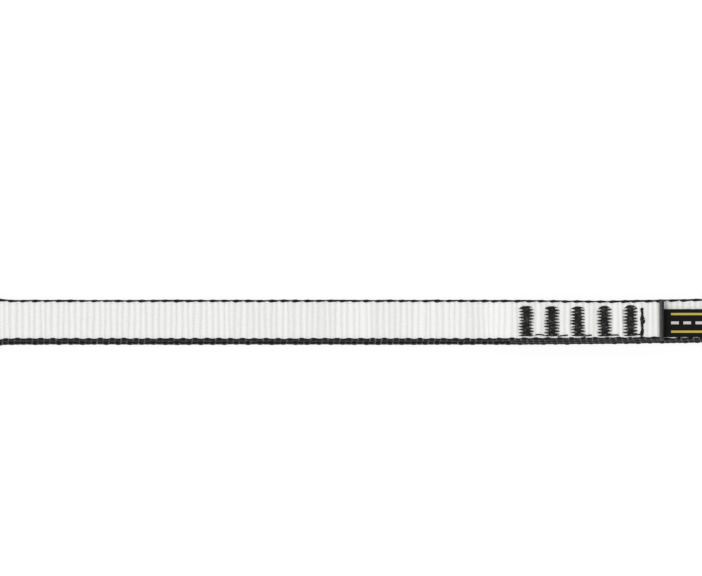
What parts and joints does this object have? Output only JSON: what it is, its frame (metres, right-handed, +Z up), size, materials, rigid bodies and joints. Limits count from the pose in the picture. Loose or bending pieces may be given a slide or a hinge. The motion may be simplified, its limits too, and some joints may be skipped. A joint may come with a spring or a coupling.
{
  "type": "sewn webbing sling",
  "caption": "Flat loop of white cross-ribbed polyethylene tape with black edges, ends lapped and bar-tacked, with a free woven label and a small eye at each end.",
  "frame": {"origin": "middle of the sling's outline, on the surface that its lower strand lies on", "axes": "+X along the sling towards the label, +Y across the tape, +Z up through the stacked strands"},
  "size_m": [0.3, 0.0122, 0.0108],
  "materials": {
    "white_webbing": "cross-ribbed woven tape, slightly silky",
    "black_selvage": "tight woven edge, matt",
    "black_thread": "twisted sewing thread, soft sheen",
    "melted_end": "fused yarn ends, uneven satin",
    "woven_label": "fine woven label tape"
  },
  "bodies": {
    "sling": {"webbing_ground": "white_webbing", "selvage_near": "black_selvage", "selvage_far": "black_selvage", "sealed_end_outer": "melted_end", "sealed_end_inner": "melted_end", "bar_tack_1": "black_thread", "bar_tack_2": "black_thread", "bar_tack_3": "black_thread", "bar_tack_4": "black_thread", "bar_tack_5": "black_thread", "label_stitch_row": "black_thread", "carry_thread_1": "black_thread", "carry_thread_2": "black_thread", "carry_thread_3": "black_thread", "carry_thread_4": "black_thread", "carry_thread_5": "black_thread", "label_tail": "woven_label"},
    "label": {"label_flap": "woven_label"}
  },
  "joints": [
    {"name": "label_lift", "type": "hinge", "parent": "sling", "child": "label", "pos_m": [0.04367, -0.00114, 0.00549], "axis": [0, -1, 0], "range_deg": [0, 90]}
  ]
}
